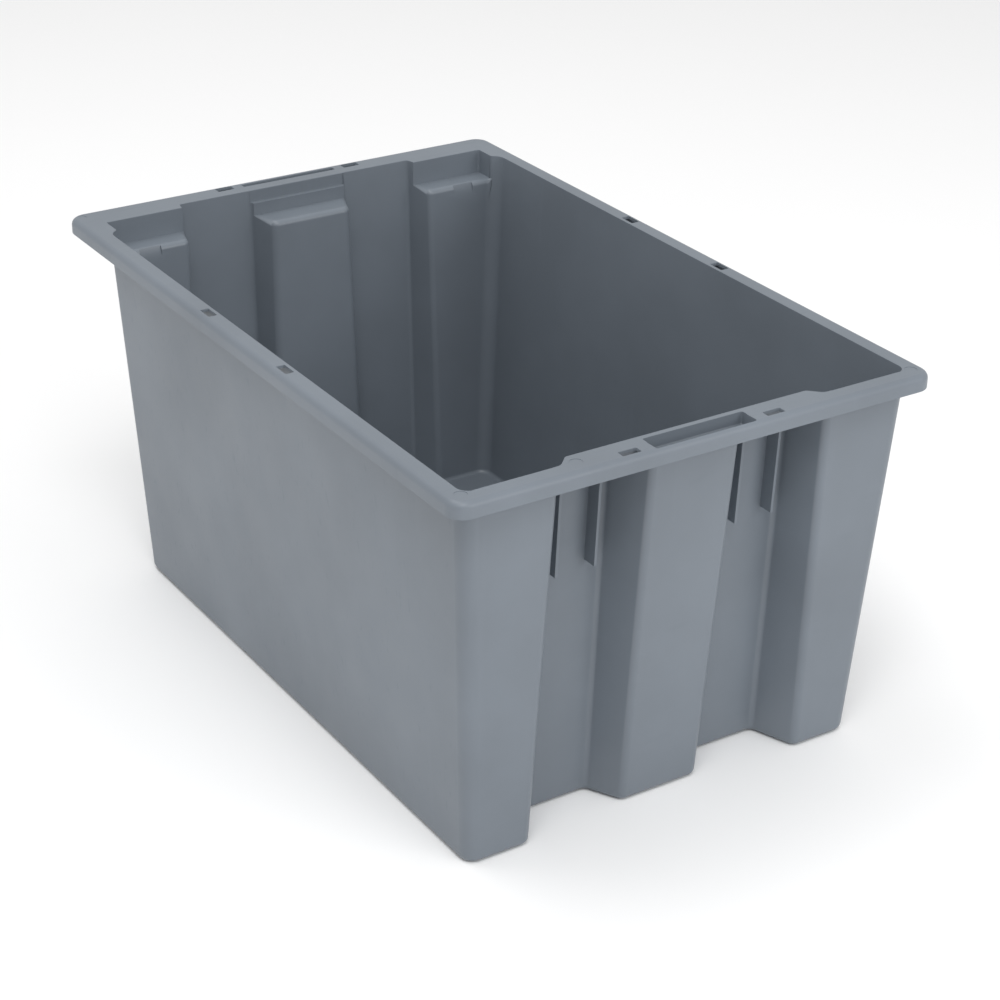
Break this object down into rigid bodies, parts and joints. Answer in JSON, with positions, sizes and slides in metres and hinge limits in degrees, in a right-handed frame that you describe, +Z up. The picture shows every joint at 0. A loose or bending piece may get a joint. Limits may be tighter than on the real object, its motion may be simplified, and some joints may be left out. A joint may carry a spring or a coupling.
{
  "type": "stack and nest storage tote",
  "caption": "Open-top storage tote with tapered walls, columned ends and inner ledges, which nests one way round and stacks when turned.",
  "frame": {"origin": "middle of the underside, on the surface that the tote stands on", "axes": "+Z up, +Y along the length towards the end with two outward columns; the end with three outward columns and the wide rim pad is at -Y; +X to the right when the three-column end faces the viewer"},
  "size_m": [0.394, 0.597, 0.3],
  "materials": {
    "moulding": "semi-gloss blue-grey moulded plastic with a very fine grain, faint flow lines and light scuffs"
  },
  "bodies": {
    "root": {"floor": "moulding", "side_wall_left": "moulding", "side_wall_right": "moulding", "front_corner_column_left": "moulding", "front_corner_column_right": "moulding", "front_centre_column": "moulding", "front_groove_left": "moulding", "front_groove_right": "moulding", "front_ledge_left": "moulding", "front_ledge_right": "moulding", "front_rib_left_inner": "moulding", "front_rib_left_outer": "moulding", "front_rib_right_inner": "moulding", "front_rib_right_outer": "moulding", "back_centre_pilaster": "moulding", "back_corner_pilaster_left": "moulding", "back_corner_pilaster_right": "moulding", "back_column_left": "moulding", "back_column_right": "moulding", "back_centre_ledge": "moulding", "back_corner_ledge_left": "moulding", "back_corner_ledge_right": "moulding", "side_rim_left": "moulding", "side_rim_right": "moulding", "front_rim_pad": "moulding", "front_rim_corner_left": "moulding", "front_rim_corner_right": "moulding", "back_rim": "moulding", "back_rim_corner_left": "moulding", "back_rim_corner_right": "moulding"}
  },
  "joints": []
}
